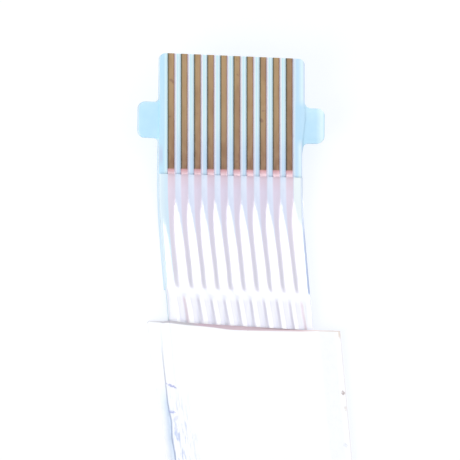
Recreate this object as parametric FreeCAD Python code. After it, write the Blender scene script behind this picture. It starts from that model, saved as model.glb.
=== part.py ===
import FreeCAD, Part
import math
import os

os.makedirs("parts", exist_ok=True)

# A flat drive cable, in millimetres. X runs across the ribbon, Y along it and Z up.
# The origin is the middle of the wrap's underside, which lies on the table.

# The ribbon: flat conductors side by side between two films, a little off its middle
conductor_count = 10
pitch = 0.50
conductor_width = 0.25
conductor_thickness = 0.05
edge_margin = 0.40
strip_offset = -0.05
film_thickness = 0.06
ridge_height = 0.035
crest_width = 0.16
dip_width = 0.12

# The contact ends: the upper film stops short, and a stiffener backs the bare contacts
contact_length = 4.44
stiffener_thickness = 0.19
stiffener_to_mouth = 1.25
stiffener_end_skew_deg = 3.0
head_skew_deg = 0.7
head_corner_radius = 0.22
ear_start = 1.79
ear_length = 1.33
ear_reach = 0.80
ear_corner_radius = 0.26
ear_root_radius = 0.16

# The wrap: one tape folded round the ribbon and bonded to itself along both sides
wrap_length = 80.0
tape_thickness = 0.11
side_clearance = 0.04
roof_clearance = 0.04
left_wall_slope_deg = 62.0
right_wall_slope_deg = 40.0
flap_width = 0.32
flap_flare = 0.16
flare_length = 5.0
bonded_margin = 0.46

# The scissor cut at the curled end's mouth, from left to right:
# (share of the wrap's width, overrun)
mouth_cut = [
    (0.0, 0.17), (0.08, 0.05), (0.16, 0.02), (0.32, -0.11), (0.85, -0.17), (0.92, -0.07), (1.0, -0.06),
]

# Sizes that follow from those above
ribbon_width = (conductor_count - 1) * pitch + conductor_width + 2 * edge_margin
half_ribbon = ribbon_width / 2
mouth = wrap_length / 2
core_height = conductor_thickness + film_thickness
wrapped_level = tape_thickness + film_thickness
resting_level = stiffener_thickness + film_thickness

# The route of the ribbon's middle plane, where the conductors lie on the lower film.
# Each end is a list of (distance outside the wrap's mouth, height above the resting level).
# The first end curls up towards its tip, and the other lies flat.
step_up_start = 3.5
step_up_end = 1.3
curled_end = [(2.90, 0.006), (4.30, 0.034), (4.75, 0.081), (5.20, 0.173), (9.99, 1.637)]
flat_end = [(9.95, 0.0)]

# How much of the shorter of two runs the arc between them takes
arc_share = 0.45

# The shortest piece of the route that is drawn, and how closely a station is found
shortest_edge = 1e-6
station_tolerance = 1e-7


def route_points():
    """The corners of the route as (y, z), from the flat end's tip to the curled end's tip."""
    points = [(-mouth - out, resting_level + up) for out, up in reversed(flat_end)]
    points.append((-mouth + step_up_end, resting_level))
    points.append((-mouth + step_up_start, wrapped_level))
    points.append((mouth - step_up_start, wrapped_level))
    points.append((mouth - step_up_end, resting_level))
    points += [(mouth + out, resting_level + up) for out, up in curled_end]
    return points


def straight_and_arc_spans(points):
    """Straight runs joined by tangent arcs, as (start, heading, length, curvature) spans."""
    headings = []
    runs = []
    for (y0, z0), (y1, z1) in zip(points, points[1:]):
        headings.append(math.atan2(z1 - z0, y1 - y0))
        runs.append(math.hypot(y1 - y0, z1 - z0))
    spans = []
    used = 0.0
    for i, (y, z) in enumerate(points[:-1]):
        heading = headings[i]
        start = (y + used * math.cos(heading), z + used * math.sin(heading))
        last = i == len(runs) - 1
        reach = 0.0 if last else arc_share * min(runs[i], runs[i + 1])
        spans.append((start, heading, runs[i] - used - reach, 0.0))
        if not last:
            turn = headings[i + 1] - heading
            radius = reach / math.tan(abs(turn) / 2)
            corner = points[i + 1]
            arc_start = (corner[0] - reach * math.cos(heading), corner[1] - reach * math.sin(heading))
            spans.append((arc_start, heading, radius * abs(turn), math.copysign(1 / radius, turn)))
            print("bend at y = %.2f mm has a radius of %.2f mm" % (corner[0], radius))
        used = reach
    return spans


spans = straight_and_arc_spans(route_points())
route_length = sum(length for start, heading, length, curvature in spans)


def place(station):
    """The point and the heading of the route at a distance from the flat end's tip."""
    left = min(max(station, 0.0), route_length)
    for start, heading, length, curvature in spans:
        if left <= length:
            break
        left -= length
    if curvature == 0.0:
        point = (start[0] + left * math.cos(heading), start[1] + left * math.sin(heading))
        return point, heading
    now = heading + curvature * left
    point = (
        start[0] + (math.sin(now) - math.sin(heading)) / curvature,
        start[1] - (math.cos(now) - math.cos(heading)) / curvature,
    )
    return point, now


def at(station, across, above):
    """A point in space: a station on the route, a place across it and a height above it."""
    (y, z), heading = place(station)
    return FreeCAD.Vector(across, y - above * math.sin(heading), z + above * math.cos(heading))


def route_edges(first, last, across, above):
    """The route between two stations, held at a height above its middle plane."""
    edges = []
    done = 0.0
    for start, heading, length, curvature in spans:
        a = max(first, done)
        b = min(last, done + length)
        if b - a > shortest_edge:
            ends = at(a, across, above), at(b, across, above)
            if curvature == 0.0:
                edges.append(Part.LineSegment(*ends).toShape())
            else:
                edges.append(Part.Arc(ends[0], at((a + b) / 2, across, above), ends[1]).toShape())
        done += length
    return edges


def layer(first, last, low, high, left, right):
    """A flat layer that follows the route, between two heights and two places across."""
    floor = route_edges(first, last, left, low)
    roof = route_edges(first, last, left, high)
    ends = [
        Part.LineSegment(at(first, left, low), at(first, left, high)).toShape(),
        Part.LineSegment(at(last, left, low), at(last, left, high)).toShape(),
    ]
    profile = Part.Face(Part.Wire(Part.__sortEdges__(floor + roof + ends)))
    return profile.extrude(FreeCAD.Vector(right - left, 0, 0))


def chain(station, corners):
    """Straight edges through places given as (across, above) at one station."""
    points = [at(station, across, above) for across, above in corners]
    return [Part.LineSegment(*pair).toShape() for pair in zip(points, points[1:])]


def swept(section_edges, first, last):
    """A section drawn at the first station, carried along the route to the last one."""
    spine = Part.Wire(route_edges(first, last, 0.0, 0.0))
    section = Part.Wire(section_edges)
    solid = spine.makePipeShell([section], True, False)
    expected = Part.Face(section).Area * spine.Length
    print("sweep of %.3f mm3, and its section times its length is %.3f mm3" % (solid.Volume, expected))
    return solid


def rounded_outline(corners, to_space):
    """A closed wire of straight sides and tangent arcs from corners given as (u, v, radius)."""
    joints = []
    for i, (u, v, radius) in enumerate(corners):
        before = FreeCAD.Vector(*corners[i - 1][:2], 0)
        after = FreeCAD.Vector(*corners[(i + 1) % len(corners)][:2], 0)
        here = FreeCAD.Vector(u, v, 0)
        back = (before - here).normalize()
        forth = (after - here).normalize()
        half_angle = back.getAngle(forth) / 2
        reach = radius / math.tan(half_angle)
        bisector = (back + forth).normalize()
        middle = here + bisector * (radius / math.sin(half_angle) - radius)
        joints.append((here + back * reach, middle, here + forth * reach, radius))
    edges = []
    for i, (start, middle, end, radius) in enumerate(joints):
        following = joints[(i + 1) % len(joints)][0]
        if radius > 0:
            edges.append(Part.Arc(to_space(start), to_space(middle), to_space(end)).toShape())
        edges.append(Part.LineSegment(to_space(end), to_space(following)).toShape())
    return Part.Wire(edges)


def conductor_centres():
    """The place of each conductor across the ribbon, from left to right."""
    first = strip_offset - (conductor_count - 1) * pitch / 2
    return [first + i * pitch for i in range(conductor_count)]


# Each head: which tip it is at, which way it looks, and how far the punch stood askew
heads = {
    "curled": {"tip": route_length, "inwards": -1, "skew": math.radians(head_skew_deg)},
    "flat": {"tip": 0.0, "inwards": 1, "skew": 0.0},
}


def tip_retreat(head, across):
    """How far the askew tip line lies behind the route's end at a place across the ribbon."""
    return (half_ribbon + across) * math.tan(head["skew"])


def conductor_profile(centre, station):
    """A conductor's section, from its left foot over its top to its right foot."""
    left = centre - conductor_width / 2
    right = centre + conductor_width / 2
    return chain(station, [(left, 0), (left, conductor_thickness), (right, conductor_thickness), (right, 0)])


def make_conductor(centre):
    """One flat conductor, bare at both ends, from tip line to tip line."""
    first = tip_retreat(heads["flat"], centre)
    last = route_length - tip_retreat(heads["curled"], centre)
    foot = [(centre + conductor_width / 2, 0), (centre - conductor_width / 2, 0)]
    return swept(conductor_profile(centre, first) + chain(first, foot), first, last)


def ridged_top(station):
    """The upper film's top, from left to right: a crest on each conductor, a dip in each gap."""
    dip = core_height - ridge_height
    corners = [(-half_ribbon, dip)]
    for centre in conductor_centres():
        foot = (pitch - dip_width) / 2
        corners += [(centre - foot, dip), (centre - crest_width / 2, core_height)]
        corners += [(centre + crest_width / 2, core_height), (centre + foot, dip)]
    corners.append((half_ribbon, dip))
    return chain(station, corners)


def make_upper_film():
    """The upper film, moulded over the conductors, which stops short of both tips."""
    first = tip_retreat(heads["flat"], 0) + contact_length
    last = route_length - tip_retreat(heads["curled"], 0) - contact_length
    dip = core_height - ridge_height
    edges = ridged_top(first) + chain(first, [(half_ribbon, dip), (half_ribbon, 0)])
    shoulder = half_ribbon
    for centre in reversed(conductor_centres()):
        edges += chain(first, [(shoulder, 0), (centre + conductor_width / 2, 0)])
        edges += reversed(conductor_profile(centre, first))
        shoulder = centre - conductor_width / 2
    edges += chain(first, [(shoulder, 0), (-half_ribbon, 0), (-half_ribbon, dip)])
    return swept(edges, first, last)


def head_point(head, u, v, above):
    """A point of a head: across, behind its tip line, and above the route's middle plane."""
    return at(head["tip"] + head["inwards"] * v, u, above)


def punched_plate(head, end, low, high):
    """The head's punched outline with its two ears, as a plate between two heights."""
    skew = head["skew"]
    turn_at = ear_start + ear_length / 2
    drop = half_ribbon * math.tan(skew)

    def askew(u, v, radius):
        """A corner turned with the punch about the middle of the ears."""
        down = v - turn_at
        return (
            u * math.cos(skew) - down * math.sin(skew),
            u * math.sin(skew) + down * math.cos(skew) + turn_at + drop,
            radius,
        )

    ear_edge = half_ribbon + ear_reach
    ear_end = ear_start + ear_length
    right_side = [
        askew(half_ribbon, 0, head_corner_radius),
        askew(half_ribbon, ear_start, ear_root_radius),
        askew(ear_edge, ear_start, ear_corner_radius),
        askew(ear_edge, ear_end, ear_corner_radius),
        askew(half_ribbon, ear_end, ear_root_radius),
        (half_ribbon, end, 0),
    ]
    left_side = [
        (-half_ribbon, end, 0),
        askew(-half_ribbon, ear_end, ear_root_radius),
        askew(-ear_edge, ear_end, ear_corner_radius),
        askew(-ear_edge, ear_start, ear_corner_radius),
        askew(-half_ribbon, ear_start, ear_root_radius),
        askew(-half_ribbon, 0, head_corner_radius),
    ]
    outline = rounded_outline(right_side + left_side, lambda c: head_point(head, c.x, c.y, low))
    lift = head_point(head, 0, end, high) - head_point(head, 0, end, low)
    return Part.Face(outline).extrude(lift)


def station_of_y(y):
    """The station where the route crosses a place along the cable."""
    low, high = 0.0, route_length
    while high - low > station_tolerance:
        guess = (low + high) / 2
        if place(guess)[0][0] < y:
            low = guess
        else:
            high = guess
    return low


# The straight stretch of a head that holds its whole punched outline
plate_end = ear_start + ear_length + 2 * ear_root_radius


def make_stiffener(head, side):
    """The stiffener under one head: the eared plate and the strip that runs back to the wrap."""
    low = -film_thickness - stiffener_thickness
    high = -film_thickness
    plate = punched_plate(head, plate_end, low, high)
    joint = head["tip"] + head["inwards"] * plate_end
    spare = half_ribbon * math.tan(math.radians(stiffener_end_skew_deg))
    back = station_of_y(side * (mouth + stiffener_to_mouth - spare))
    strip = layer(min(joint, back), max(joint, back), low, high, -half_ribbon, half_ribbon)
    end_y = mouth + stiffener_to_mouth
    size = 4 * ribbon_width
    front = end_y - size if side > 0 else -end_y
    knife = Part.makeBox(size, size, size, FreeCAD.Vector(-size / 2, front, -size / 2))
    pivot = FreeCAD.Vector(0, side * end_y, 0)
    knife.rotate(pivot, FreeCAD.Vector(0, 0, 1), -stiffener_end_skew_deg)
    return plate.fuse(strip).cut(knife).removeSplitter()


def make_lower_film():
    """The lower film, whole from tip to tip, with its corners punched like the stiffeners'."""
    ends = heads["flat"], heads["curled"]
    film = layer(plate_end, route_length - plate_end, -film_thickness, 0, -half_ribbon, half_ribbon)
    for head in ends:
        plate = punched_plate(head, plate_end, -film_thickness, 0)
        joint = head["tip"] + head["inwards"] * plate_end
        first, last = min(joint, head["tip"]), max(joint, head["tip"])
        band = layer(first, last, -film_thickness, 0, -half_ribbon, half_ribbon)
        film = film.fuse(plate.common(band))
    return film.removeSplitter()


def wrap_wall(slope_deg):
    """One sloping side wall of the wrap: its inner and outer top and foot, out from the middle."""
    slope = math.radians(slope_deg)
    roof = resting_level + core_height + roof_clearance
    inner_top = half_ribbon + side_clearance
    inner_foot = inner_top + (roof - tape_thickness) / math.tan(slope)
    offset = tape_thickness * math.tan(slope / 2)
    return inner_top, inner_foot, inner_top + offset, inner_foot + offset, roof


def make_wrap():
    """The folded tape: flat below, raised over the ribbon, bonded to itself at both sides."""
    l_top, l_foot, l_outer_top, l_outer_foot, roof = wrap_wall(left_wall_slope_deg)
    r_top, r_foot, r_outer_top, r_outer_foot, roof = wrap_wall(right_wall_slope_deg)
    fold_edge = l_outer_foot + flap_width
    left_edge = fold_edge + flap_flare
    right_edge = r_outer_foot + bonded_margin
    double = 2 * tape_thickness
    top = roof + tape_thickness
    start = -mouth - half_ribbon
    outer = [
        (-left_edge, 0), (-left_edge, double), (-l_outer_foot, double), (-l_outer_top, top),
        (r_outer_top, top), (r_outer_foot, double), (right_edge, double), (right_edge, 0),
    ]
    inner = [(-l_foot, tape_thickness), (-l_top, roof), (r_top, roof), (r_foot, tape_thickness)]
    faces = []
    for outline in (outer, inner):
        corners = [FreeCAD.Vector(x, start, z) for x, z in outline]
        faces.append(Part.Face(Part.makePolygon(corners + corners[:1])))
    tape = faces[0].cut(faces[1]).extrude(FreeCAD.Vector(0, wrap_length + 2 * half_ribbon, 0))
    width = left_edge + right_edge
    plan = [(share * width - left_edge, mouth + overrun) for share, overrun in mouth_cut]
    plan += [(right_edge, -mouth), (-fold_edge, -mouth), (-fold_edge, mouth - flare_length)]
    corners = [FreeCAD.Vector(x, y, 0) for x, y in plan]
    cutter = Part.Face(Part.makePolygon(corners + corners[:1])).extrude(FreeCAD.Vector(0, 0, top))
    return tape.common(cutter)


def export(name, shape):
    """Writes one solid to its own file."""
    solid = shape.Solids[0] if len(shape.Solids) == 1 else shape
    print("%s: %d solid, %.4f mm3, %d faces" % (name, len(shape.Solids), shape.Volume, len(shape.Faces)))
    solid.exportStep("parts/%s.step" % name)


print("the ribbon is %.2f mm wide and %.2f mm long" % (ribbon_width, route_length))
for number, centre in enumerate(conductor_centres(), start=1):
    export("conductor_%02d" % number, make_conductor(centre))
export("upper_film", make_upper_film())
export("lower_film", make_lower_film())
export("stiffener_curled_end", make_stiffener(heads["curled"], 1))
export("stiffener_flat_end", make_stiffener(heads["flat"], -1))
export("wrap_sleeve", make_wrap())
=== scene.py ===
# %% [markdown]
# # A flat drive cable, dressed in Blender
# The real cable is a ribbon of ten flat copper strips between two clear films. Each end is a
# small stiff head with two ears, where the strips are bare and plated. A white tape is folded
# round the middle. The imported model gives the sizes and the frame. This script gives the looks.

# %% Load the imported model
import math

import bmesh
import bpy
import numpy as np
from mathutils import Matrix, Vector


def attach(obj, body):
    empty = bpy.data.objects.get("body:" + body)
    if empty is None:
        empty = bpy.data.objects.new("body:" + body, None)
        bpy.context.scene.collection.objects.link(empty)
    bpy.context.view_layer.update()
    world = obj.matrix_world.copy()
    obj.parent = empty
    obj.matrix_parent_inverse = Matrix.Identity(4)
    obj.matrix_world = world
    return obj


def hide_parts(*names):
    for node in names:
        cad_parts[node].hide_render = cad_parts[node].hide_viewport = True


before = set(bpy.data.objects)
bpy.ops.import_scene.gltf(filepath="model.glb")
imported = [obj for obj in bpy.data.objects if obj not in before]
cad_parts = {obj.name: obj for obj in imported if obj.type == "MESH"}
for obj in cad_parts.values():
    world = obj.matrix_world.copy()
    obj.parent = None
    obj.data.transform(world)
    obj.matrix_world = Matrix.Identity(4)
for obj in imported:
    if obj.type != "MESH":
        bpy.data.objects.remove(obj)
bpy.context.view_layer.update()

print("nodes:", sorted(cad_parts))

# %% [markdown]
# ## The camera
# The photograph shows almost no perspective, so it was taken with a long lens, a little from
# the left and from the wrapped end, and steeply from above. Three axes at right angles hold
# that view: which way is right in the picture, which way is up, and which way the camera lies.
# The focal length is very long for the distance, which keeps parallel edges parallel.

# %% Set the camera
picture_right = Vector((0.9596, -0.0819, 0.2693))
picture_up = Vector((-0.0261, 0.9266, 0.3750))
towards_camera = Vector((-0.2803, -0.3669, 0.8870))
looked_at = Vector((-0.000689, 0.042970, 0.002133))
camera_distance = 0.6

camera_data = bpy.data.cameras.new("camera")
camera_data.sensor_width = 36.0
camera_data.lens = 1291.0
camera_data.clip_start = 0.01
camera_data.clip_end = 10.0
camera = bpy.data.objects.new("camera", camera_data)
turn = Matrix((picture_right, picture_up, towards_camera)).transposed().to_4x4()
camera.matrix_world = Matrix.Translation(looked_at + towards_camera * camera_distance) @ turn
bpy.context.scene.collection.objects.link(camera)
bpy.context.scene.camera = camera
bpy.context.scene.view_settings.view_transform = "Standard"
print("camera: %.1f m away, lens of %.0f mm" % (camera_distance, camera_data.lens))

# %% [markdown]
# ## The route of the ribbon
# A flat cable bends only along its length, so one line says where all its layers go. The line
# is a smooth NURBS curve. Its control points are the corners of the route that the packed
# model follows: flat on the table, down by a hair inside the wrap, and up at the near end,
# where a short bend lifts the head. Every layer is later modelled flat and laid on this line.

# %% Draw the route and read its points back
route = [
    (0, -0.04995, 0.00025), (0, -0.04090, 0.00025), (0, -0.03870, 0.00025),
    (0, -0.03650, 0.00017), (0, -0.03430, 0.00017), (0, 0.03430, 0.00017),
    (0, 0.03650, 0.00017), (0, 0.03870, 0.00025), (0, 0.04140, 0.000252),
    (0, 0.04280, 0.000268), (0, 0.04360, 0.000284), (0, 0.04420, 0.000319),
    (0, 0.04470, 0.000386), (0, 0.04520, 0.000490), (0, 0.04570, 0.000643),
    (0, 0.04996, 0.001945),
]
curve_data = bpy.data.curves.new("route", "CURVE")
curve_data.dimensions = "3D"
curve_data.resolution_u = 48
spline = curve_data.splines.new("NURBS")
spline.points.add(len(route) - 1)
for control, place in zip(spline.points, route):
    control.co = (*place, 1.0)
spline.order_u = 3
spline.use_endpoint_u = True
route_object = bpy.data.objects.new("route", curve_data)
bpy.context.scene.collection.objects.link(route_object)
route_mesh = bpy.data.meshes.new_from_object(route_object)
route_line = [v.co.copy() for v in route_mesh.vertices]
bpy.data.objects.remove(route_object)

MM = 0.001
line_y = np.array([p.y for p in route_line]) / MM
line_z = np.array([p.z for p in route_line]) / MM
steps = np.hypot(np.diff(line_y), np.diff(line_z))
line_station = np.concatenate([[0.0], np.cumsum(steps)])
line_heading = np.arctan2(np.gradient(line_z, line_station), np.gradient(line_y, line_station))
length = float(line_station[-1])
print("route: %d points, %.2f mm long" % (len(route_line), length))

# %% [markdown]
# ## Working flat, then laying the piece on the route
# A flat cable is made flat and bent afterwards, and the pieces here are too. Each is modelled
# in flat millimetres: x across the ribbon, y along it from the far tip, z above the strips'
# underside. It is then cut into short stretches, and each corner moves to its place on the
# route. A UV map keeps the flat place, as millimetres across and millimetres from the nearer
# tip, so that a pattern can follow the strips round the bends.

# %% Helpers that lay a flat piece on the route
far_reach, far_step = 12.0, 0.5
wrap_step = 2.0
near_reach, near_step = 16.0, 0.15
bend_first, bend_last, bend_step = 6.4, 4.4, 0.075


def stretch_cuts(first, last):
    """Stations between two ends, close together at the bend and wide apart under the wrap."""
    near_start = length - near_reach
    cuts = np.concatenate([
        np.arange(far_step, far_reach, far_step),
        np.arange(far_reach, near_start, wrap_step),
        np.arange(near_start, length, near_step),
        np.arange(length - bend_first, length - bend_last, bend_step),
    ])
    return sorted({round(float(s), 4) for s in cuts if first + 0.02 < s < last - 0.02})


def lay_on_route(bm):
    """Moves a flat bmesh onto the route and keeps its flat place as a UV map."""
    flat_map = bm.loops.layers.uv.verify()
    for face in bm.faces:
        for loop in face.loops:
            across, station = loop.vert.co.x, loop.vert.co.y
            loop[flat_map].uv = (across, min(station, length - station))
    for vert in bm.verts:
        across, station, above = vert.co
        heading = float(np.interp(station, line_station, line_heading))
        y = float(np.interp(station, line_station, line_y)) - above * math.sin(heading)
        z = float(np.interp(station, line_station, line_z)) + above * math.cos(heading)
        vert.co = Vector((across, y, z)) * MM


def cut_across(bm, stations):
    """Cuts a flat bmesh straight across at each station."""
    for station in stations:
        geometry = bm.verts[:] + bm.edges[:] + bm.faces[:]
        bmesh.ops.bisect_plane(
            bm, geom=geometry, dist=0.0005, plane_co=(0, station, 0), plane_no=(0, 1, 0)
        )


def finish_piece(bm, name, finish, smooth=False):
    """Makes an object of a bmesh, with its finish and the body it rides on."""
    bmesh.ops.recalc_face_normals(bm, faces=bm.faces[:])
    mesh = bpy.data.meshes.new(name)
    bm.to_mesh(mesh)
    bm.free()
    mesh.materials.append(finish.material)
    for polygon in mesh.polygons:
        polygon.use_smooth = smooth
    if smooth:
        mesh.set_sharp_from_angle(angle=math.radians(40))
    piece = bpy.data.objects.new(name, mesh)
    bpy.context.scene.collection.objects.link(piece)
    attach(piece, "root")
    print("%s: %d vertices, %d faces" % (name, len(mesh.vertices), len(mesh.polygons)))
    return piece


print("cuts along the whole ribbon: %d" % len(stretch_cuts(0.0, length)))

# %% [markdown]
# ## Sizes of the ribbon and its heads
# Flat cable of this kind has its strips every half millimetre. The other sizes are those of
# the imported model, in millimetres, apart from the left and right edges, which are moved by a
# few hundredths to where the photograph has them.

# %% Name the sizes
conductor_count = 10
pitch = 0.50
conductor_width = 0.25
strip_offset = -0.05
conductor_thickness = 0.05
film_left = -2.75
film_right = 2.70
head_left = -2.722
head_right = 2.798
film_thickness = 0.06
stiffener_thickness = 0.19
bare_length = 4.44
plated_length = 4.20
skew = math.radians(0.7)
outermost = (conductor_count - 1) * pitch / 2
centres = [strip_offset + i * pitch - outermost for i in range(conductor_count)]


def tip_retreat(across):
    """How far the askew near tip lies behind the route's end, at a place across."""
    return (across - head_left) * math.tan(skew)


print("strips: %d, from %.2f to %.2f mm across" % (conductor_count, centres[0], centres[-1]))

# %% [markdown]
# ## Finishes
# A small set of helpers builds each material from nodes, so that a finish reads as a list of
# what lies over what. Colours are written as the 0 to 255 values that a picture shows, and
# turned into the linear values that Blender works with.

# %% Helpers for materials
black = (0, 0, 0)
white = (255, 255, 255)


def paint(red, green, blue):
    """A picture's colour as Blender's linear colour."""
    linear = []
    for value in (red, green, blue):
        v = value / 255
        linear.append(v / 12.92 if v <= 0.04045 else ((v + 0.055) / 1.055) ** 2.4)
    return (*linear, 1.0)


class Finish:
    """A node material with one principled shader, and short ways to add nodes."""

    def __init__(self, name, roughness, metallic=0.0, specular=0.5):
        self.material = bpy.data.materials.new(name)
        self.material.use_nodes = True
        self.tree = self.material.node_tree
        self.shader = self.tree.nodes["Principled BSDF"]
        self.shader.inputs["Roughness"].default_value = roughness
        self.shader.inputs["Metallic"].default_value = metallic
        self.shader.inputs["Specular IOR Level"].default_value = specular

    def node(self, kind, **settings):
        """A new node with its settings."""
        made = self.tree.nodes.new(kind)
        for key, value in settings.items():
            setattr(made, key, value)
        return made

    def put(self, value, socket):
        """Joins an output to a socket, or sets a number or a picture's colour on it."""
        if isinstance(value, bpy.types.NodeSocket):
            self.tree.links.new(value, socket)
        else:
            socket.default_value = paint(*value) if isinstance(value, tuple) else value

    def flat_place(self):
        """The place across and the place along, in millimetres, from the piece's UV map."""
        split = self.node("ShaderNodeSeparateXYZ")
        self.put(self.node("ShaderNodeUVMap").outputs["UV"], split.inputs[0])
        return split.outputs["X"], split.outputs["Y"]

    def math(self, operation, a, b=0.0, c=0.0):
        """One sum on numbers or outputs."""
        made = self.node("ShaderNodeMath", operation=operation)
        for value, socket in zip((a, b, c), made.inputs):
            self.put(value, socket)
        return made.outputs[0]

    def plus(self, a, b):
        return self.math("ADD", a, b)

    def minus(self, a, b):
        return self.math("SUBTRACT", a, b)

    def times(self, a, b):
        return self.math("MULTIPLY", a, b)

    def over(self, a, b):
        return self.math("DIVIDE", a, b)

    def above(self, value, limit):
        """1 where a value is above a limit, 0 elsewhere."""
        return self.math("GREATER_THAN", value, limit)

    def below(self, value, limit):
        """1 where a value is below a limit, 0 elsewhere."""
        return self.math("LESS_THAN", value, limit)

    def off(self, value, place):
        """How far a value lies from a place, on either side."""
        return self.math("ABSOLUTE", self.minus(value, place))

    def tilted(self, value, other, slope):
        """A value with a share of another one added to it."""
        return self.math("MULTIPLY_ADD", other, slope, value)

    def pitch_share(self, across):
        """How far across its strip's pitch a place lies, from 0 to 1."""
        return self.math("FRACT", self.over(self.minus(across, strip_offset), pitch))

    def blend(self, value, stops):
        """Linear colours at places from 0 to 1, blended between them."""
        made = self.node("ShaderNodeValToRGB")
        elements = made.color_ramp.elements
        while len(elements) < len(stops):
            elements.new(0.5)
        for element, (place, colour) in zip(elements, stops):
            element.position = place
            element.color = colour
        self.put(value, made.inputs[0])
        return made.outputs[0]

    def ramp(self, value, stops):
        """A picture's colours at places from 0 to 1, blended between them."""
        return self.blend(value, [(place, paint(*colour)) for place, colour in stops])

    def profile(self, value, points):
        """A number looked up in a list of (place, number), straight between the places."""
        start, reach = points[0][0], points[-1][0] - points[0][0]
        low = min(number for place, number in points)
        rise = max(number for place, number in points) - low
        stops = [
            ((place - start) / reach, ((number - low) / rise,) * 3 + (1.0,))
            for place, number in points
        ]
        share = self.over(self.minus(value, start), reach)
        return self.math("MULTIPLY_ADD", self.blend(share, stops), rise, low)

    def span(self, value, low, high, to_low=0.0, to_high=1.0):
        """A value carried from one range to another, with soft ends."""
        made = self.node("ShaderNodeMapRange", interpolation_type="SMOOTHSTEP")
        for number, socket in zip((value, low, high, to_low, to_high), made.inputs):
            self.put(number, socket)
        return made.outputs[0]

    def mix(self, share, first, second, mode="MIX"):
        """The first colour, with a share of the second one over it."""
        made = self.node("ShaderNodeMix", data_type="RGBA", blend_type=mode)
        self.put(share, made.inputs["Factor"])
        self.put(first, made.inputs[6])
        self.put(second, made.inputs[7])
        return made.outputs[2]

    def walls(self, axis, sign, surface, wall_colour):
        """A colour, with another one on the walls that face one way along an axis."""
        split = self.node("ShaderNodeSeparateXYZ")
        self.put(self.node("ShaderNodeNewGeometry").outputs["Normal"], split.inputs[0])
        facing = self.times(split.outputs[axis], float(sign))
        return self.mix(self.above(facing, 0.6), surface, wall_colour)

    def noise(self, scale, detail=2.0, stretch=(1, 1, 1)):
        """Noise on Object coordinates, in cycles per millimetre."""
        mapping = self.node("ShaderNodeMapping")
        mapping.inputs["Scale"].default_value = [s / MM for s in stretch]
        self.put(self.node("ShaderNodeTexCoord").outputs["Object"], mapping.inputs["Vector"])
        made = self.node("ShaderNodeTexNoise")
        made.inputs["Scale"].default_value = scale
        made.inputs["Detail"].default_value = detail
        self.put(mapping.outputs[0], made.inputs["Vector"])
        return made.outputs["Fac"]

    def bump(self, height, distance):
        """Fine relief, with its depth in metres."""
        made = self.node("ShaderNodeBump")
        made.inputs["Strength"].default_value = 1.0
        made.inputs["Distance"].default_value = distance
        self.put(height, made.inputs["Height"])
        self.put(made.outputs[0], self.shader.inputs["Normal"])

    def colour(self, value):
        """Sets the colour, the last step of a finish, and says how large the finish is."""
        self.put(value, self.shader.inputs["Base Color"])
        print("%s: %d nodes" % (self.material.name, len(self.tree.nodes)))


# %% [markdown]
# ## Bare contacts
# At the tip each strip is plated bronze brown. It is painted darker farther from the tip, as a
# painted reflection of dark surroundings in the metal, and it is darkest on the last strip. Fine
# lines from rolling run along it, and it has patches of tarnish and small specks. Its long edges
# get a painted bluish shade on the left and a painted violet fringe on the right. These are laid
# over one another by the flat place, because a contact's colour goes by its distance from the tip
# and from its own middle line.

# %% Finish of the plated contacts
plated = Finish("plated_strip", roughness=0.42, metallic=0.25)
across, from_tip = plated.flat_place()
# Painted reflection: the brown darkens farther from the tip, standing in for dark surroundings
# seen in the metal.
contact = plated.ramp(
    plated.over(from_tip, plated_length),
    [(0.0, (164, 133, 90)), (0.55, (158, 127, 88)), (0.85, (140, 106, 75)), (1.0, (126, 88, 64))],
)
grain = plated.noise(9.0, detail=3.0, stretch=(1.0, 0.12, 1.0))
tarnish = plated.noise(1.3, detail=3.0, stretch=(1.6, 0.5, 1.0))
on_last_strip = plated.above(across, centres[-1] - pitch / 2)
speck = plated.span(plated.noise(3.2, detail=1.0), 0.70, 0.76)
contact = plated.mix(plated.span(grain, 0.30, 0.70, 0.0, 0.5), contact, (146, 118, 84))
contact = plated.mix(plated.span(tarnish, 0.50, 0.72, 0.0, 0.55), contact, (134, 100, 70))
contact = plated.mix(plated.times(on_last_strip, 0.55), contact, (124, 94, 64))
contact = plated.mix(plated.times(speck, 0.6), contact, (118, 82, 62))
# Painted shade along each contact's left edge, and a painted violet fringe along its right edge.
edge_shade_and_fringe = plated.ramp(
    plated.pitch_share(across),
    [(0.25, (128, 166, 182)), (0.31, (196, 212, 216)), (0.36, white), (0.63, white),
     (0.68, (232, 216, 228)), (0.75, (186, 156, 212))],
)
contact = plated.mix(1.0, contact, edge_shade_and_fringe, mode="MULTIPLY")

# %% [markdown]
# The plating stops a quarter of a millimetre before the film starts. The bare copper between them
# shows as a short pink band, which begins very slightly askew. The band is painted lighter
# towards the film, as a painted reflection where the copper rises to the film.

# %% Add the pink band and the strips' relief
plating_edge = plated.tilted(from_tip, across, 0.012)
# Painted reflection: the pink grows lighter towards the film, where the copper slopes up to it.
pink = plated.ramp(
    plated.over(plated.minus(plating_edge, plated_length), bare_length - plated_length),
    [(0.0, (176, 126, 122)), (0.25, (198, 150, 156)), (0.6, (212, 176, 183)),
     (0.78, (226, 198, 204)), (1.0, (226, 200, 208))],
)
plating_end = plated.span(plating_edge, plated_length - 0.02, plated_length + 0.03)
plated.put(plated.span(grain, 0.2, 0.8, 0.34, 0.5), plated.shader.inputs["Roughness"])
plated.bump(grain, 0.000004)
plated.colour(plated.mix(plating_end, contact, pink))

# %% [markdown]
# ## The ten strips
# Each strip is flat copper, rolled from wire, so its long edges are slightly round. A box is
# stretched to size, its long edges are bevelled, it is cut across and laid on the route. The
# near head was punched a little askew, so each near tip lies a little farther back.

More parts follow.
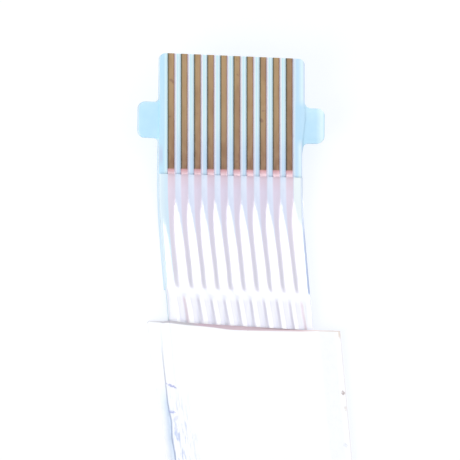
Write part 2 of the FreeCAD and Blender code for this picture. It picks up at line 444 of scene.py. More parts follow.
# %% Make the strips
edge_round = 0.018
for number, centre in enumerate(centres, start=1):
    bm = bmesh.new()
    bmesh.ops.create_cube(bm, size=1.0)
    tip = length - tip_retreat(centre)
    bmesh.ops.scale(bm, vec=(conductor_width, tip, conductor_thickness), verts=bm.verts)
    bmesh.ops.translate(bm, vec=(centre, tip / 2, conductor_thickness / 2), verts=bm.verts)
    upper_edges = [
        e for e in bm.edges
        if all(v.co.z > conductor_thickness / 2 for v in e.verts)
        and abs(e.verts[0].co.x - e.verts[1].co.x) < 0.01
    ]
    bmesh.ops.bevel(
        bm, geom=upper_edges, offset=edge_round, segments=2, profile=0.5, affect="EDGES",
        material=-1,
    )
    cut_across(bm, stretch_cuts(0.0, tip))
    lay_on_route(bm)
    strip = finish_piece(bm, "strip_%02d" % number, plated)
    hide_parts("conductor_%02d" % number)

# %% [markdown]
# ## Films
# The clear films are so thin that what lies under them sets their colour: pale pink over a strip,
# pale blue between the strips and over the stiffener. That is painted on the film itself, by its
# flat place, because a stack of thin see-through skins shows badly in most viewers. Its gloss is
# real. Past the last strip on the right, a narrow rim of the film carries a painted shade, darker
# towards the stiffener's end, standing in for the shaded side of the stiffener there.

# %% Finish of the upper film over the stiffener
film = Finish("glossy_film", roughness=0.12, specular=0.5)
across, from_tip = film.flat_place()
over_strip = film.ramp(
    film.pitch_share(across), [(0.15, black), (0.26, white), (0.71, white), (0.82, black)]
)
inside = film.below(film.off(across, strip_offset), 2.40)
strip_share = film.times(over_strip, inside)
ramp_length = 10.0
along = film.over(from_tip, ramp_length)
gap_blue = film.ramp(
    along,
    [(0.44, (222, 234, 252)), (0.47, (232, 239, 254)), (0.54, (228, 235, 253)),
     (0.84, (228, 232, 246))],
)
side_pink = film.ramp(
    along,
    [(0.44, (214, 188, 198)), (0.455, (235, 213, 224)), (0.50, (238, 222, 236)),
     (0.66, (230, 221, 233)), (0.84, (220, 216, 227))],
)
middle_pink = film.ramp(
    along,
    [(0.44, (210, 182, 194)), (0.455, (226, 206, 220)), (0.50, (227, 215, 233)),
     (0.66, (224, 217, 231)), (0.84, (220, 216, 227))],
)
in_middle = film.profile(across, [(-2.6, 0.0), (-1.2, 1.0), (1.4, 1.0), (2.5, 0.0)])
left_margin = film.mix(film.span(across, film_left, -2.45), (232, 247, 254), (216, 238, 251))
margin = film.mix(film.above(across, 0.0), left_margin, (246, 254, 254))
# Painted shade: a darker blue rim along the film's right edge, in place of the stiffener's shaded
# side.
rim = film.times(
    film.span(across, film_right - 0.10, film_right - 0.07),
    film.profile(from_tip, [(4.4, 0.45), (5.6, 0.5), (6.6, 0.9), (8.9, 1.0), (9.05, 0.0)]),
)
between_strips = film.mix(rim, film.mix(inside, margin, gap_blue), (196, 208, 238))
strip_pink = film.mix(in_middle, side_pink, middle_pink)
backed_colour = film.mix(strip_share, between_strips, strip_pink)

# %% [markdown]
# Past the stiffener's end the ribbon is free, and no blue shows through it any more. A fine
# darker line is painted along each strip there, a painted shade of the light from behind, and a
# painted highlight lies in each gap beside it. The lines lean, because the picture sees the bend
# from one side, and each wanders a little. They are a pattern that repeats across, with a softer
# lavender band beside each line.

# %% Finish of the upper film on its free stretch
line_pitch = 0.4928
line_lean = -0.09
freed = film.tilted(from_tip, across, -0.03)
wander = film.noise(0.7, detail=1.0)
drift = film.profile(across, [(-2.1, -0.05), (-1.5, -0.11), (1.9, -0.10), (2.4, -0.06)])
line_place = film.tilted(film.plus(across, 2.062), film.minus(from_tip, 9.9), line_lean)
line_place = film.tilted(film.plus(line_place, drift), wander, 0.10)
in_line = film.math("FRACT", film.over(line_place, line_pitch))
# Painted shade: a fine dark line along each strip on the free stretch.
shade_line_share = film.ramp(
    in_line,
    [(0.0, white), (0.06, (214, 214, 214)), (0.16, black), (0.84, black),
     (0.94, (214, 214, 214))],
)
# Painted highlight: the near-white part of this band, in the gap beside each line.
lavender_and_painted_glint = film.ramp(
    in_line,
    [(0.22, (250, 250, 251)), (0.38, (246, 246, 249)), (0.48, (222, 220, 236)),
     (0.56, (226, 225, 240)), (0.76, (226, 225, 240)), (0.88, (236, 235, 244))],
)
fading = film.span(film.tilted(freed, wander, -0.3), 8.94, 9.20)
lined = film.times(film.below(across, 2.46), film.above(across, -2.45))
shown = film.times(fading, lined)
outer_line = film.above(film.off(across, 0.15), 1.95)
shade_line_colour = film.mix(outer_line, (208, 203, 220), (222, 204, 216))
free_ground = film.mix(shown, (236, 236, 246), lavender_and_painted_glint)
free_colour = film.mix(film.times(shade_line_share, shown), free_ground, shade_line_colour)

# %% [markdown]
# The film's cut edges get colours of their own, picked by the way a wall faces. They are painted
# light: the left walls and the front wall over the gaps are near white, which takes away their
# shade, and the front wall over each strip is a darker pink. The gloss is strongest over the
# stiffener and weaker on the free stretch, whose glint is softer in the photograph.

# %% Join both stretches, and add the film's cut edges and gloss
beyond = film.span(freed, 8.80, 8.94)
# Painted light: the film's left walls and its front wall over the gaps are near white, which
# takes away their shade.
left_wall_painted_light = film.mix(beyond, (236, 247, 252), (252, 254, 255))
front_wall_painted_light = film.mix(strip_share, white, (206, 168, 182))
film_colour = film.mix(beyond, backed_colour, free_colour)
film_colour = film.walls("X", -1, film_colour, left_wall_painted_light)
gloss = film.profile(freed, [(8.7, 0.5), (8.95, 0.36), (9.1, 0.25)])
gloss = film.times(gloss, film.minus(1.0, rim))
film.put(gloss, film.shader.inputs["Specular IOR Level"])
film.bump(film.noise(1.6, stretch=(1.0, 0.4, 1.0)), 0.000004)
film.colour(film.walls("Y", 1, film_colour, front_wall_painted_light))

# %% [markdown]
# The lower film shows between the bare contacts, as pale blue gaps. Each gap is blue in its
# middle with a painted highlight on either side, along the strips' steps, and all gaps grow
# duller towards the upper film. Outside the strips it has a left margin with a painted highlight
# line, a right margin with a painted highlight that makes it paler towards the edge, and a dull
# smudge behind the left ear.

# %% Finish of the lower film between and beside the contacts
base = Finish("glossy_base_film", roughness=0.22, specular=0.5)
across, from_tip = base.flat_place()
in_pitch = base.pitch_share(across)
# Painted highlights: the bright lines on either side of each gap, beside the strips.
gap_at_tip_with_highlights = base.ramp(
    in_pitch,
    [(0.04, (206, 244, 251)), (0.12, (238, 255, 255)), (0.19, (206, 230, 243)),
     (0.81, (238, 232, 250)), (0.89, (254, 255, 255)), (0.965, (213, 244, 251))],
)
gap_near_film_with_highlights = base.ramp(
    in_pitch,
    [(0.04, (199, 230, 250)), (0.12, (212, 236, 254)), (0.19, (192, 212, 236)),
     (0.81, (228, 228, 250)), (0.89, (240, 243, 255)), (0.965, (212, 232, 252))],
)
gaps = base.mix(base.span(from_tip, 2.4, 3.9), gap_at_tip_with_highlights, gap_near_film_with_highlights)
# Painted highlight: a bright line in the left margin beside the first strip.
painted_highlight_line = base.profile(across, [(-2.56, 0.0), (-2.52, 0.8), (-2.47, 0.9), (-2.43, 0.3)])
smudge = base.times(
    base.profile(from_tip, [(3.3, 0.0), (3.6, 1.0), (3.9, 1.0), (4.2, 0.0)]),
    base.span(across, -2.58, -2.64),
)
left_blue = base.mix(painted_highlight_line, (197, 235, 254), (224, 252, 255))
left_blue = base.mix(smudge, left_blue, (198, 219, 243))
margin_start = 2.36
margin_end = base.profile(
    from_tip, [(0.0, head_right), (2.2, head_right), (3.2, film_right), (4.6, film_right)]
)
# Painted highlight: the right margin's paler band towards its edge.
right_blue_and_highlight = base.ramp(
    base.over(base.minus(across, margin_start), base.minus(margin_end, margin_start)),
    [(0.05, (228, 237, 254)), (0.16, (220, 244, 254)), (0.27, (203, 233, 253)),
     (0.42, (201, 234, 255)), (0.56, (212, 240, 254)), (0.72, (228, 252, 255)),
     (0.82, (228, 250, 254)), (0.92, (214, 229, 247))],
)

# %% [markdown]
# At an ear, film and stiffener have the same blue, so the film's edge nearly disappears there.
# Its left wall and its right margin are therefore as blue as the ear beside them. Elsewhere its
# walls are painted nearly white, which takes away their shade.

# %% Join the lower film's colours, and add its walls and relief
ear_side = base.times(
    base.profile(from_tip, [(1.55, 0.0), (1.85, 1.0), (3.0, 1.0), (3.3, 0.0)]),
    base.span(across, 2.42, 2.46),
)
right_blue_and_highlight = base.mix(ear_side, right_blue_and_highlight, (195, 232, 254))
margin = base.mix(base.above(across, 0.0), left_blue, right_blue_and_highlight)
beside = base.span(base.off(across, strip_offset), 2.375, 2.41)
streak = base.noise(5.0, stretch=(1.0, 0.08, 1.0))
base_colour = base.mix(beside, gaps, margin)
base_colour = base.mix(base.span(streak, 0.35, 0.65, 0.0, 0.12), base_colour, (226, 242, 253))
at_left_ear = base.profile(from_tip, [(1.6, 0.0), (1.9, 1.0), (3.0, 1.0), (3.3, 0.0)])
# Painted light: away from the ears the left walls are near white, which takes away their shade;
# at the ears they take the ear's blue.
left_wall_painted_light = base.mix(at_left_ear, (232, 244, 250), (200, 234, 252))
base_colour = base.walls("X", -1, base_colour, left_wall_painted_light)
base.bump(streak, 0.000003)
# Painted light: the right-facing walls are near white, which takes away their shade.
base.colour(base.walls("X", 1, base_colour, (250, 255, 255)))

# %% [markdown]
# ## The ridged upper film
# Rolled hot over the strips, the upper film has a crest on each strip and a dip in each gap.
# A grid is laid out flat, its corners are lifted to that ridged shape, and solidify gives it
# its thickness. The wave is half as high where the film starts, and shifts a tenth of a
# millimetre sideways along the stiffener. Just past the stiffener's end it turns over, because
# the light and dark bands of the photograph change places there. Under the wrap it comes back.

# %% Shape of the ridges
ridge_height = 0.020
ridge_shift = 0.10
turned_over = 0.75
left_half_wave = 0.33
right_half_wave = 0.25
rim_width, rim_drop = 0.04, 0.012
wrap_first, wrap_last = 11.0, 12.0


def ease(value, low, high):
    """0 below the low value, 1 above the high one, and a soft step between them."""
    t = min(max((value - low) / (high - low), 0.0), 1.0)
    return t * t * (3 - 2 * t)


def ridge(across, station):
    """Height of the film's top above the strips' underside."""
    from_near_tip = length - station
    under_wrap = ease(from_near_tip, wrap_first, wrap_last)
    freed = from_near_tip - 0.024 * across
    growth = 0.5 + 0.5 * ease(from_near_tip, 4.4, 5.2)
    swing = growth * (1 - ease(freed, 8.80, 8.90)) - turned_over * ease(freed, 9.02, 9.12)
    swing += (1 + turned_over) * under_wrap
    shift = ridge_shift * ease(from_near_tip, 5.0, 8.4) * (1 - under_wrap)
    offset = across - strip_offset - shift
    if offset < -outermost:
        wave = math.cos(math.pi * min((-outermost - offset) / left_half_wave, 1.0))
    elif offset > outermost:
        wave = math.cos(math.pi * min((offset - outermost) / right_half_wave, 1.0))
    else:
        wave = math.cos(2 * math.pi * ((offset + pitch / 2) % pitch) / pitch)
    edge = min(across - film_left, film_right - across)
    pinch = rim_drop * (1 - ease(edge, 0.0, rim_width))
    top = conductor_thickness + film_thickness
    return top - ridge_height * (0.5 - 0.5 * wave * swing) - pinch


example = length - 7.0
print("film 7 mm from the near tip: %.4f to %.4f mm high" % (
    ridge(centres[4] + pitch / 2, example), ridge(centres[4], example)))

# %% Make the upper film
columns_per_pitch = 20
film_first = bare_length
film_last = length - bare_length
stations = [film_first] + stretch_cuts(film_first, film_last) + [film_last]
columns = int(round((film_right - film_left) / pitch * columns_per_pitch))
bm = bmesh.new()
bmesh.ops.create_grid(bm, x_segments=columns, y_segments=len(stations) - 1, size=1.0)
for vert in bm.verts:
    across = film_left + (film_right - film_left) * (vert.co.x + 1) / 2
    station = stations[int(round((vert.co.y + 1) / 2 * (len(stations) - 1)))]
    vert.co = (across, station, ridge(across, station))
bmesh.ops.solidify(bm, geom=bm.faces[:], thickness=film_thickness)
lay_on_route(bm)
upper_film = finish_piece(bm, "upper_film_ridged", film, smooth=True)
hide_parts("upper_film")

# %% [markdown]
# ## The lower film
# The lower film runs whole from tip to tip under the strips, and shows between the bare
# contacts. Its near end is askew, and its corners are round like the head's. It starts as a
# box, and it is a hair wider at the near tip, because the head was punched a little wider.

# %% Make the lower film
corner_radius = 0.22
widens_from, widens_to = 3.2, 2.2
bm = bmesh.new()
bmesh.ops.create_cube(bm, size=1.0)
bmesh.ops.scale(bm, vec=(film_right - film_left, length, film_thickness), verts=bm.verts)
middle = ((film_left + film_right) / 2, length / 2, -film_thickness / 2)
bmesh.ops.translate(bm, vec=middle, verts=bm.verts)
for vert in bm.verts:
    if vert.co.y > length / 2:
        vert.co.y -= tip_retreat(vert.co.x)
corner_edges = [e for e in bm.edges if abs(e.verts[0].co.z - e.verts[1].co.z) > 0.01]
bmesh.ops.bevel(
    bm, geom=corner_edges, offset=corner_radius, segments=6, profile=0.5, affect="EDGES",
    material=-1,
)
cut_across(bm, stretch_cuts(0.0, length))
for vert in bm.verts:
    widened = 1 - ease(length - vert.co.y, widens_to, widens_from)
    if vert.co.x > 0:
        vert.co.x += (head_right - film_right) * widened
    else:
        vert.co.x += (head_left - film_left) * widened
lay_on_route(bm)
lower_film = finish_piece(bm, "lower_film_sheet", base)
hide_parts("lower_film")

# %% [markdown]
# ## The blue stiffeners
# A stiffener is a thicker strip of light blue polyester, glued under the head and punched out
# together with it. Its outline starts as a few corners. A vertex bevel rounds them as the punch
# does, an extrusion gives the thickness, and a fine edge bevel catches the light. The colour is a
# pale blue with faint clouds, with a painted highlight along the right ear's outer edge, and
# greyer on the walls that face left.

# %% Finish of the stiffeners
blue = Finish("blue_polyester", roughness=0.38, specular=0.4)
across, from_tip = blue.flat_place()
cloud = blue.span(blue.noise(0.9, detail=3.0), 0.35, 0.65)
# Painted highlight along the right ear's outer edge.
painted_rim_highlight = blue.profile(
    across, [(3.24, 0.0), (3.36, 0.5), (3.45, 1.0), (3.50, 1.0), (3.54, 0.3)]
)
sheet_blue = blue.mix(cloud, (190, 230, 252), (198, 235, 253))
sheet_blue = blue.mix(painted_rim_highlight, sheet_blue, (226, 250, 254))
blue.bump(blue.noise(6.0, detail=3.0), 0.000003)
blue.colour(blue.walls("X", -1, sheet_blue, (210, 230, 242)))

# %% Sizes of a head's outline
ear_start = 1.79
ear_end = 3.11
right_ear_short = 0.045
ear_reach = 0.785
ear_radius = 0.26
root_radius = 0.16
taper_length = 0.6
end_slant = 0.12


def head_outline(end):
    """Corners of a head as (across, from the tip, radius), round from its right tip corner."""
    right_ear = head_right + ear_reach
    left_ear = head_left - ear_reach
    right_end = ear_end - right_ear_short
    return [
        (head_right, 0.0, corner_radius), (head_right, ear_start, ear_radius),
        (right_ear, ear_start, ear_radius), (right_ear, right_end, ear_radius),
        (head_right, right_end + 0.03, root_radius), (film_right, ear_end + taper_length, 0.0),
        (film_right, end + end_slant, 0.0), (film_left, end - end_slant, 0.0),
        (film_left, ear_end + taper_length, 0.0), (head_left, ear_end, root_radius),
        (left_ear, ear_end, ear_radius), (left_ear, ear_start, ear_radius),
        (head_left, ear_start, root_radius), (head_left, 0.0, corner_radius),
    ]


print("head over its ears: %.2f mm" % (head_right - head_left + 2 * ear_reach))


# %% Make the stiffeners
def make_stiffener(name, near, end):
    """One stiffener, modelled flat and laid on the route."""
    bm = bmesh.new()
    radius_of = {}
    middle = (ear_start + ear_end) / 2
    askew = skew if near else 0.0
    drop = (head_right - head_left) / 2 * math.tan(askew)
    for u, v, radius in head_outline(end):
        if radius > 0:
            down = v - middle
            u, v = (
                u * math.cos(askew) - down * math.sin(askew),
                u * math.sin(askew) + down * math.cos(askew) + middle + drop,
            )
        corner = bm.verts.new((u, length - v if near else v, -film_thickness))
        radius_of[corner] = radius
    bm.faces.new(bm.verts)
    for radius in (corner_radius, root_radius, ear_radius):
        corners = [v for v, r in radius_of.items() if v.is_valid and r == radius]
        bmesh.ops.bevel(
            bm, geom=corners, offset=radius, segments=8, profile=0.5, affect="VERTICES",
            material=-1,
        )
    made = bmesh.ops.extrude_face_region(bm, geom=bm.faces[:])
    lower = [g for g in made["geom"] if isinstance(g, bmesh.types.BMVert)]
    bmesh.ops.translate(bm, vec=(0, 0, -stiffener_thickness), verts=lower)
    bmesh.ops.recalc_face_normals(bm, faces=bm.faces[:])
    top_rim = [e for e in bm.edges if all(v.co.z > -film_thickness - 0.01 for v in e.verts)]
    bmesh.ops.bevel(
        bm, geom=top_rim, offset=0.03, segments=3, profile=0.5, affect="EDGES", material=-1
    )
    cut_across(bm, [s for s in stretch_cuts(0.0, length) if (s > length / 2) == near])
    lay_on_route(bm)
    return finish_piece(bm, name, blue, smooth=True)


near_stiffener = make_stiffener("stiffener_near", True, 8.90)
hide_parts("stiffener_curled_end")
far_stiffener = make_stiffener("stiffener_far", False, 8.80)
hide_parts("stiffener_flat_end")

# %% [markdown]
# ## The white tape
# The wrap is one white tape folded round the ribbon and glued to itself along both sides. Seen
# from its end it is a flattened tube. So its section is drawn once as two closed loops, the
# outside and the hollow, each is extruded along the cable, and the ends are bridged. Rows of
# cuts then give it points to move: the crooked scissor cut at the mouth, the flap that lifts,
# the pinched fold and the wrinkles beside it.

# %% Sizes of the tape
mouth = 40.0
tape_thickness = 0.11
roof = 0.51
left_edge = -3.33
right_edge = 3.77
right_slope_start, right_slope_width = 2.78, 0.84
hollow = [
    (-2.95, 0.11), (-2.90, 0.20), (-2.84, 0.33), (-2.76, 0.40), (2.80, 0.40), (3.00, 0.36),
    (3.25, 0.25), (3.50, 0.13), (3.55, 0.11),
]


def spaced(first, last, gap):
    """Places from one to another, about a gap apart, with both ends."""
    count = max(1, int(round((last - first) / gap)))
    return [first + (last - first) * i / count for i in range(count + 1)]


def outer_height(x):
    """Height of the tape's upper side across the wrap."""
    left_rise = ease(x, -3.03, -2.78)
    right_fall = min(max((x - right_slope_start) / right_slope_width, 0.0), 1.0)
    double = 2 * tape_thickness
    return double + (roof - double) * left_rise * (1 - right_fall)


print("tape: %.2f mm wide, %.2f mm high" % (right_edge - left_edge, roof))

# %% Make the tape's section and run it along the cable
top_places = spaced(left_edge, -3.13, 0.04) + spaced(-3.11, -2.87, 0.015)
top_places += spaced(-2.84, -1.9, 0.03) + spaced(-1.8, 0.0, 0.2)
top_places += [0.08, 0.12, 0.15, 0.18, 0.22] + spaced(0.4, 2.6, 0.2) + spaced(2.7, 3.6, 0.1)
top_places += [right_edge - 0.06, right_edge - 0.02, right_edge]
outside = [(x, outer_height(x)) for x in top_places]
outside += [(x, 0.0) for x in reversed(spaced(left_edge, right_edge, 0.8))]
bm = bmesh.new()
for section in (outside, hollow):
    ring = [bm.verts.new((x, -mouth, z)) for x, z in section]
    loop = [bm.edges.new((ring[i - 1], ring[i])) for i in range(len(ring))]
    made = bmesh.ops.extrude_edge_only(bm, edges=loop)
    moved = [g for g in made["geom"] if isinstance(g, bmesh.types.BMVert)]
    bmesh.ops.translate(bm, vec=(0, 2 * mouth, 0), verts=moved)
for end in (-mouth, mouth):
    rims = [e for e in bm.edges if all(abs(v.co.y - end) < 0.001 for v in e.verts)]
    bmesh.ops.bridge_loops(bm, edges=rims)
bmesh.ops.recalc_face_normals(bm, faces=bm.faces[:])
rows = spaced(-39.0, 30.0, 1.5) + spaced(30.5, 33.0, 0.25) + spaced(33.06, 39.7, 0.06)
cut_across(bm, rows + [39.76, 39.82, 39.88, 39.94])
print("tape: %d faces before shaping" % len(bm.faces))

# %% [markdown]
# The tape is shaped by moving its points. The mouth was cut by hand, so its line is crooked and
# has a nick. At the left the flap spreads towards the mouth and stands up a little farther in,
# beside a sharp crease. Fine pleats and two pinches run off the crease, where the tape was
# folded too tightly. Soft humps and waves make them, so they fade out on their own. The tape's
# UV map keeps the flat place of before, across and along from the wrap's middle.

# %% Lines and waves that shape the tape
mouth_cut = [
    (-3.50, 0.13), (-3.28, 0.10), (-3.05, 0.105), (-2.93, 0.06), (-2.80, 0.0), (-2.40, -0.03),
    (-2.02, -0.075), (-1.64, -0.105), (-1.08, -0.17), (-0.50, -0.24), (0.63, -0.253),
    (2.15, -0.245), (2.91, -0.20), (3.49, -0.116), (3.77, -0.10),
]
nick_place, nick_half_width, nick_depth = 0.15, 0.05, 0.07
crease = [
    (34.9, -2.95), (35.5, -2.99), (36.2, -2.97), (36.9, -3.03), (37.5, -3.04), (38.2, -3.055),
    (38.8, -3.07), (40.0, -3.05),
]
crease_depth = 0.035
flap_root, flap_width, flap_spread, flap_lift = -3.05, 0.28, 0.17, 0.10
pinches = [(-2.88, 37.50, 0.10, 0.6), (-2.93, 36.52, 0.07, 0.5)]
pinch_depth = 0.05


def bell(value, middle, half_width):
    """A soft hump of height 1 round a middle value."""
    return math.exp(-((value - middle) / half_width) ** 2)


def pleats(x, y):
    """Fine wrinkles beside the fold, which run along it and wander a little."""
    wander = 0.05 * math.sin(1.9 * y) + 0.03 * math.sin(4.7 * y + 1.0)
    zone = ease(x, -2.90, -2.80) * (1 - ease(x, -2.55, -1.95))
    reach = 1 - ease(y, 35.6, 37.4)
    uneven = 0.55 + 0.45 * math.sin(2.7 * y + 5.1 * x) * math.sin(1.3 * y - 2.2 * x + 0.6)
    wide_wave = math.sin(2 * math.pi * (x + wander) / 0.17)
    fine_wave = math.sin(2 * math.pi * (x - 0.8 * wander) / 0.105 + 1.7)
    return 0.012 * zone * reach * uneven * (wide_wave + 0.6 * fine_wave)


def read_off(value, points):
    """The second number of a list of pairs, straight between them."""
    return float(np.interp(value, [p[0] for p in points], [p[1] for p in points]))


# %% Keep the flat place, then shape the tape
flat_map = bm.loops.layers.uv.verify()
for face in bm.faces:
    for loop in face.loops:
        loop[flat_map].uv = (loop.vert.co.x, loop.vert.co.y)
for vert in bm.verts:
    x, y, z = vert.co
    top = z > tape_thickness + 0.001
    crease_x = read_off(y, crease)
    if y > 36.0:
        nick = max(0.0, 1 - abs(x - nick_place) / nick_half_width) if y > mouth - 0.01 else 0.0
        y += read_off(x, mouth_cut) * ease(y, 36.0, mouth) ** 3 - nick_depth * nick
    if x < flap_root:
        spread = (flap_root - x) / flap_width
        x -= flap_spread * spread * ease(y, 35.0, mouth)
        if top:
            z += flap_lift * spread * ease(37.9 - y, 0.0, 1.2)
    if top and x < -1.5:
        z -= crease_depth * bell(x, crease_x, 0.022) * ease(mouth - y, 0.2, 2.0)
    if top and z > 0.24:
        z += pleats(x, y)
        for pinch_x, pinch_y, width, lean in pinches:
            along_pinch = bell(y + lean * (x - pinch_x), pinch_y, 0.05)
            z -= pinch_depth * bell(x, pinch_x, width) * along_pinch
    vert.co = Vector((x, y, z)) * MM
print("tape: mouth from %.2f to %.2f mm" % (
    mouth + min(p[1] for p in mouth_cut), mouth + max(p[1] for p in mouth_cut)))

# %% [markdown]
# The tape is satin white. Along its cut edge at the mouth a painted shadow stands in for the dark
# gap under the edge: grey where it stands off the ribbon at the left, pink where the strips'
# colour reaches it, and pale again at the right. It is painted by the flat place that the UV map
# keeps.

# %% Finish of the tape and its cut edge
tape = Finish("satin_tape", roughness=0.5, specular=0.4)
across, along = tape.flat_place()
weave = tape.noise(4.0, detail=4.0)
surface = tape.mix(tape.span(weave, 0.3, 0.7), (249, 249, 251), (252, 252, 253))
# Painted shadow: a dark line along the mouth's cut edge, for the gap under it.
mouth_shadow_colour = tape.ramp(
    tape.over(tape.plus(across, 3.5), 7.3),
    [(0.0, (236, 236, 240)), (0.05, (204, 202, 208)), (0.10, (184, 178, 186)),
     (0.20, (172, 166, 174)), (0.26, (184, 154, 170)), (0.35, (186, 158, 170)),
     (0.45, (198, 168, 179)), (0.68, (212, 186, 194)), (0.78, (226, 198, 202)),
     (0.90, (238, 224, 220)), (1.0, (220, 206, 200))],
)
mouth_shadow_width = tape.profile(
    across, [(-3.5, 0.02), (-3.2, 0.06), (-2.9, 0.08), (-2.4, 0.10), (-1.8, 0.08), (-1.2, 0.06),
             (2.0, 0.05), (3.8, 0.06)]
)
past_shadow_start = tape.minus(along, tape.minus(mouth, mouth_shadow_width))
surface = tape.mix(tape.span(past_shadow_start, -0.02, 0.02), surface, mouth_shadow_colour)

# %% [markdown]
# Beside the crease the flap lies in a soft blue shade. On the other side of the crease the pleats
# catch short blue strokes of shade, which are too fine for the mesh alone, so stretched noise
# paints them. The crease itself is a thin dark line of painted shade that fades towards the
# mouth.

# %% Add the flap's shade, the strokes and the crease
off_crease = tape.minus(across, tape.profile(along, crease))
flap_reach = tape.profile(
    along, [(34.4, 0.5), (35.0, 0.8), (35.6, 1.0), (36.9, 1.0), (37.3, 0.5), (37.8, 0.0)]
)
flap_shade = tape.times(tape.span(off_crease, -0.36, -0.02), flap_reach)
flap_shade = tape.times(flap_shade, tape.below(off_crease, 0.0))
surface = tape.mix(flap_shade, surface, (216, 230, 246))
stroke = tape.span(tape.noise(1.0, detail=3.0, stretch=(15.0, 1.9, 1.0)), 0.52, 0.64)
stroke_zone = tape.times(
    tape.profile(off_crease, [(0.0, 0.0), (0.04, 1.0), (0.4, 0.8), (0.7, 0.4), (0.95, 0.0)]),
    tape.profile(along, [(34.3, 1.0), (35.5, 1.0), (36.2, 0.7), (36.9, 0.3), (37.6, 0.0)]),
)
surface = tape.mix(tape.times(stroke, stroke_zone), surface, (198, 208, 234))
# Painted shade: a thin dark line in the crease.
crease_shade = tape.times(
    tape.span(tape.math("ABSOLUTE", off_crease), 0.032, 0.010),
    tape.profile(
        along, [(34.4, 1.0), (35.2, 0.8), (36.2, 0.8), (36.9, 0.5), (37.5, 0.45), (38.2, 0.35),
                (38.8, 0.25), (39.4, 0.15), (40.0, 0.05)]
    ),
)
surface = tape.mix(crease_shade, surface, (160, 172, 198))

# %% [markdown]
# Four blue patches of painted shade sit in the pinches at the left and between them, and specks
# of dirt stick to the glue along the right edge. Each is one soft oval with a ragged outline, so
# a list of places is enough.

# %% Add the marks, and make the tape
ragged = tape.times(tape.noise(14.0, detail=1.0), 1.6)
# The first four are painted shade in the pinches and dents; the last four are dirt.
dent_shade_and_dirt = [
    (-2.88, 37.50, 0.17, 0.07, 1.1, (176, 180, 220)),
    (-2.94, 36.52, 0.12, 0.07, 0.9, (184, 190, 228)),
    (-2.86, 36.20, 0.09, 0.13, -0.8, (224, 226, 246)),
    (-2.88, 35.85, 0.06, 0.18, 0.0, (226, 228, 248)),
    (3.66, 37.45, 0.09, 0.12, 0.0, (168, 146, 144)),
    (3.69, 36.85, 0.07, 0.14, 0.0, (222, 212, 206)),
    (3.56, 35.40, 0.10, 0.12, 0.0, (222, 224, 232)),
    (3.72, 39.86, 0.07, 0.20, 0.0, (222, 204, 188)),
]


def spot(x, y, width, height, lean):
    """1 inside a ragged oval at a flat place, which may lean, 0 outside it."""
    off_x = tape.minus(across, x)
    dx = tape.over(off_x, width)
    dy = tape.over(tape.minus(tape.tilted(along, off_x, lean), y), height)
    squares = tape.plus(tape.math("POWER", dx, 2.0), tape.math("POWER", dy, 2.0))
    return tape.span(tape.plus(squares, ragged), 1.9, 0.6)


for *oval, colour in dent_shade_and_dirt:
    surface = tape.mix(spot(*oval), surface, colour)
side_line = tape.times(tape.span(across, right_edge - 0.05, right_edge - 0.02), 0.8)
tape.bump(weave, 0.000003)
tape.colour(tape.mix(side_line, surface, (230, 224, 224)))

sleeve = finish_piece(bm, "tape_wrap", tape, smooth=True)
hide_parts("wrap_sleeve")

# %% [markdown]
# The ribbon is a flexible cable of a fixed length, and the lower film runs from tip to tip.

# %% [markdown]
# ## Floor and light
# The photograph has a white ground that is nearly overexposed, a soft light from the lower
# left, whose shadows fall to the right, and a bright window beyond the cable that glints in
# the glossy film. The camera sees the floor with a light of its own, so that it comes out white
# and still takes the shadow. Every other ray meets a plain white floor.

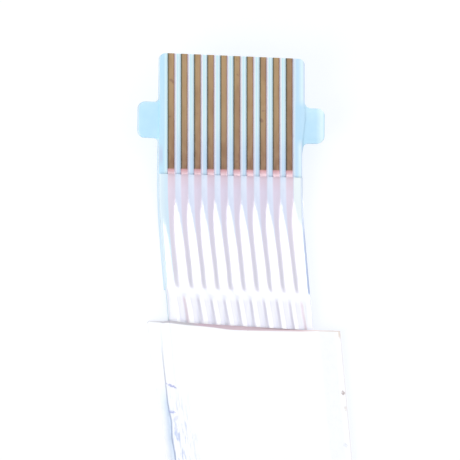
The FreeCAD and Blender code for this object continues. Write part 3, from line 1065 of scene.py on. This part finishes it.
# %% Make the floor
bm = bmesh.new()
bmesh.ops.create_grid(bm, x_segments=1, y_segments=1, size=2.0)
mesh = bpy.data.meshes.new("floor")
bm.to_mesh(mesh)
bm.free()
floor = bpy.data.objects.new("floor", mesh)
floor.location.z = -0.00001
bpy.context.scene.collection.objects.link(floor)
floor_material = bpy.data.materials.new("white_ground")
floor_material.use_nodes = True
tree = floor_material.node_tree
tree.nodes.clear()
output = tree.nodes.new("ShaderNodeOutputMaterial")
own_light = tree.nodes.new("ShaderNodeEmission")
own_light.inputs["Color"].default_value = (0.72, 0.785, 0.90, 1.0)
lit_part = tree.nodes.new("ShaderNodeBsdfDiffuse")
lit_part.inputs["Color"].default_value = (0.345, 0.285, 0.19, 1.0)
plain_white = tree.nodes.new("ShaderNodeBsdfDiffuse")
plain_white.inputs["Color"].default_value = (0.86, 0.87, 0.88, 1.0)
seen_ground = tree.nodes.new("ShaderNodeAddShader")
choice = tree.nodes.new("ShaderNodeMixShader")
light_path = tree.nodes.new("ShaderNodeLightPath")
tree.links.new(own_light.outputs[0], seen_ground.inputs[0])
tree.links.new(lit_part.outputs[0], seen_ground.inputs[1])
tree.links.new(light_path.outputs["Is Camera Ray"], choice.inputs[0])
tree.links.new(plain_white.outputs[0], choice.inputs[1])
tree.links.new(seen_ground.outputs[0], choice.inputs[2])
tree.links.new(choice.outputs[0], output.inputs["Surface"])
mesh.materials.append(floor_material)
print("floor: %.0f m wide" % floor.dimensions.x)

# %% Make the lights
world = bpy.data.worlds.new("soft_room")
world.use_nodes = True
background = world.node_tree.nodes["Background"]
background.inputs["Color"].default_value = (0.93, 0.96, 1.0, 1.0)
background.inputs["Strength"].default_value = 0.76
bpy.context.scene.world = world


def panel(name, towards, upward, distance, width, height, watts):
    """A rectangular lamp that faces the cable's near head from a direction."""
    lamp = bpy.data.lights.new(name, "AREA")
    lamp.shape = "RECTANGLE"
    lamp.size = width
    lamp.size_y = height
    lamp.energy = watts
    back = Vector(towards).normalized()
    side = Vector(upward).cross(back).normalized()
    turn = Matrix((side, back.cross(side), back)).transposed().to_4x4()
    holder = bpy.data.objects.new(name, lamp)
    holder.matrix_world = Matrix.Translation(looked_at + back * distance) @ turn
    bpy.context.scene.collection.objects.link(holder)
    print("%s: %.1f W, %.2f by %.2f m" % (name, watts, width, height))
    return holder


window_up = Vector((0.5285, 0.7306, -0.4325))
window_side = Vector((0.7031, -0.6622, -0.2593))
panel("key_softbox", (-0.72, -0.50, 0.47), (0, 0, 1), 0.6, 0.30, 0.30, 1.6)
glint = panel("window_beyond", (0.6279, 0.4068, 0.6636), window_up, 0.6, 0.60, 0.475, 10.8)
glint.location += window_side * -0.036
glint.location += window_up * -0.0195
glint.visible_diffuse = False
